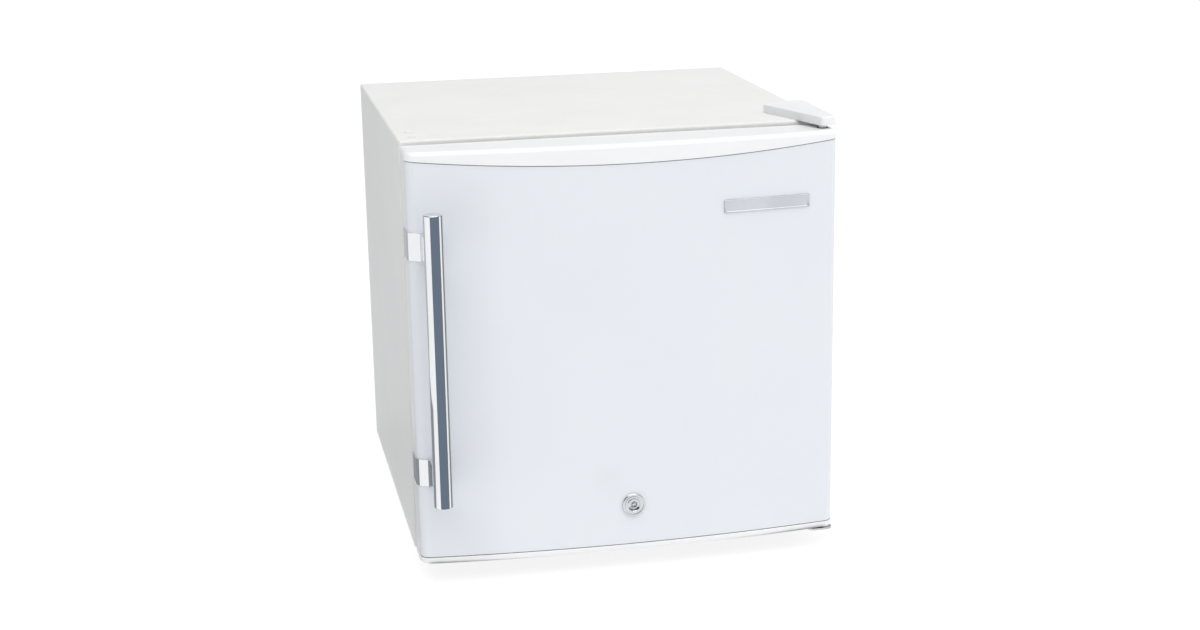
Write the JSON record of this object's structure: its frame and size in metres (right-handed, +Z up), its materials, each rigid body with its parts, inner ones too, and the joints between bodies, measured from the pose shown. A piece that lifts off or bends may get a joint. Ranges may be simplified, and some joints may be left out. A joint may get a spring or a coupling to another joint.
{
  "type": "mini fridge",
  "caption": "Compact cube refrigerator with a bowed hinged door, bar handle, key lock, ice compartment, wire shelf, door bins and a compressor with a wire condenser at the back.",
  "frame": {"origin": "middle of the bounding box on the floor, under the feet", "axes": "+Z up, -Y towards the door and handle, +X towards the hinge side"},
  "size_m": [0.471, 0.5399, 0.4885],
  "materials": {
    "white_steel": "gloss",
    "galvanised_steel": "satin",
    "white_plastic": "gloss",
    "liner_plastic": "satin",
    "clear_plastic": "gloss",
    "foam": "matte",
    "seal_rubber": "matte",
    "black_rubber": "matte",
    "black_plastic": "matte",
    "chrome": "polished",
    "zinc_steel": "satin",
    "black_paint": "satin",
    "evaporator_aluminium": "satin",
    "copper_tube": "satin",
    "white_wire": "gloss",
    "silver_badge": "satin"
  },
  "bodies": {
    "cabinet": {"cabinet_wrap": "white_steel", "front_sill": "white_steel", "base_panel": "galvanised_steel", "back_panel": "galvanised_steel", "inner_liner": "liner_plastic", "cabinet_foam": "foam", "compressor_plate": "galvanised_steel", "cord_gland": "black_rubber", "rear_feet": "black_rubber", "hinge_cover": "white_plastic", "upper_hinge_bracket": "zinc_steel", "upper_hinge_screws": "zinc_steel", "upper_hinge_pin": "zinc_steel", "lower_hinge_bracket": "zinc_steel", "lower_hinge_screws": "zinc_steel", "lower_hinge_pin": "zinc_steel", "hinge_hole_plugs": "white_plastic", "lock_keeper": "zinc_steel", "lock_keeper_screws": "zinc_steel", "evaporator": "evaporator_aluminium", "evaporator_rails": "white_plastic", "thermostat_housing": "white_plastic", "thermostat_switch": "black_plastic", "thermostat_bulb": "copper_tube", "compressor": "black_paint", "compressor_cradle": "black_paint", "compressor_grommets": "black_rubber", "compressor_bolts": "zinc_steel", "relay_cover": "black_plastic", "condenser_tube": "black_paint", "condenser_wires": "black_paint", "condenser_clips": "black_plastic", "filter_dryer": "copper_tube", "discharge_line": "black_paint", "suction_line": "copper_tube", "capillary_line": "copper_tube"},
    "door": {"door_front_panel": "white_steel", "door_top_cap": "white_plastic", "door_bottom_cap": "white_plastic", "door_side_trims": "white_plastic", "door_foam": "foam", "door_liner": "liner_plastic", "door_gasket": "seal_rubber", "door_lower_bin": "clear_plastic", "door_upper_bin": "clear_plastic", "hinge_bushes": "black_plastic", "handle_bar": "chrome", "handle_brackets": "chrome", "handle_screws": "zinc_steel", "badge_plate": "silver_badge", "lock_barrel": "chrome", "lock_nut": "zinc_steel"},
    "lock": {"lock_plug": "chrome", "lock_cam": "zinc_steel"},
    "knob": {"thermostat_knob": "white_plastic"},
    "flap": {"freezer_flap": "white_plastic"},
    "tray": {"drip_tray": "clear_plastic"},
    "shelf": {"wire_shelf": "white_wire"},
    "left_foot": {"left_front_foot": "black_plastic"},
    "right_foot": {"right_front_foot": "black_plastic"}
  },
  "joints": [
    {"name": "door_swing", "type": "hinge", "parent": "cabinet", "child": "door", "pos_m": [0.222, -0.20066, 0.2505], "axis": [0, 0, 1], "range_deg": [0, 120]},
    {"name": "lock_turn", "type": "hinge", "parent": "door", "child": "lock", "pos_m": [0, -0.23366, 0.074], "axis": [0, 1, 0], "range_deg": [0, 90]},
    {"name": "knob_turn", "type": "hinge", "parent": "cabinet", "child": "knob", "pos_m": [0.156, -0.05966, 0.407], "axis": [0, 1, 0], "range_deg": [0, 300]},
    {"name": "flap_fold", "type": "hinge", "parent": "cabinet", "child": "flap", "pos_m": [-0.033, -0.02316, 0.362], "axis": [1, 0, 0], "range_deg": [0, 90]},
    {"name": "tray_slide", "type": "slide", "parent": "cabinet", "child": "tray", "axis": [0, -1, 0], "range_m": [0, 0.08]},
    {"name": "shelf_slide", "type": "slide", "parent": "cabinet", "child": "shelf", "axis": [0, -1, 0], "range_m": [0, 0.065]},
    {"name": "left_foot_screw", "type": "slide", "parent": "cabinet", "child": "left_foot", "axis": [0, 0, -1], "range_m": [0, 0.008]},
    {"name": "right_foot_screw", "type": "slide", "parent": "cabinet", "child": "right_foot", "axis": [0, 0, -1], "range_m": [0, 0.008]}
  ]
}
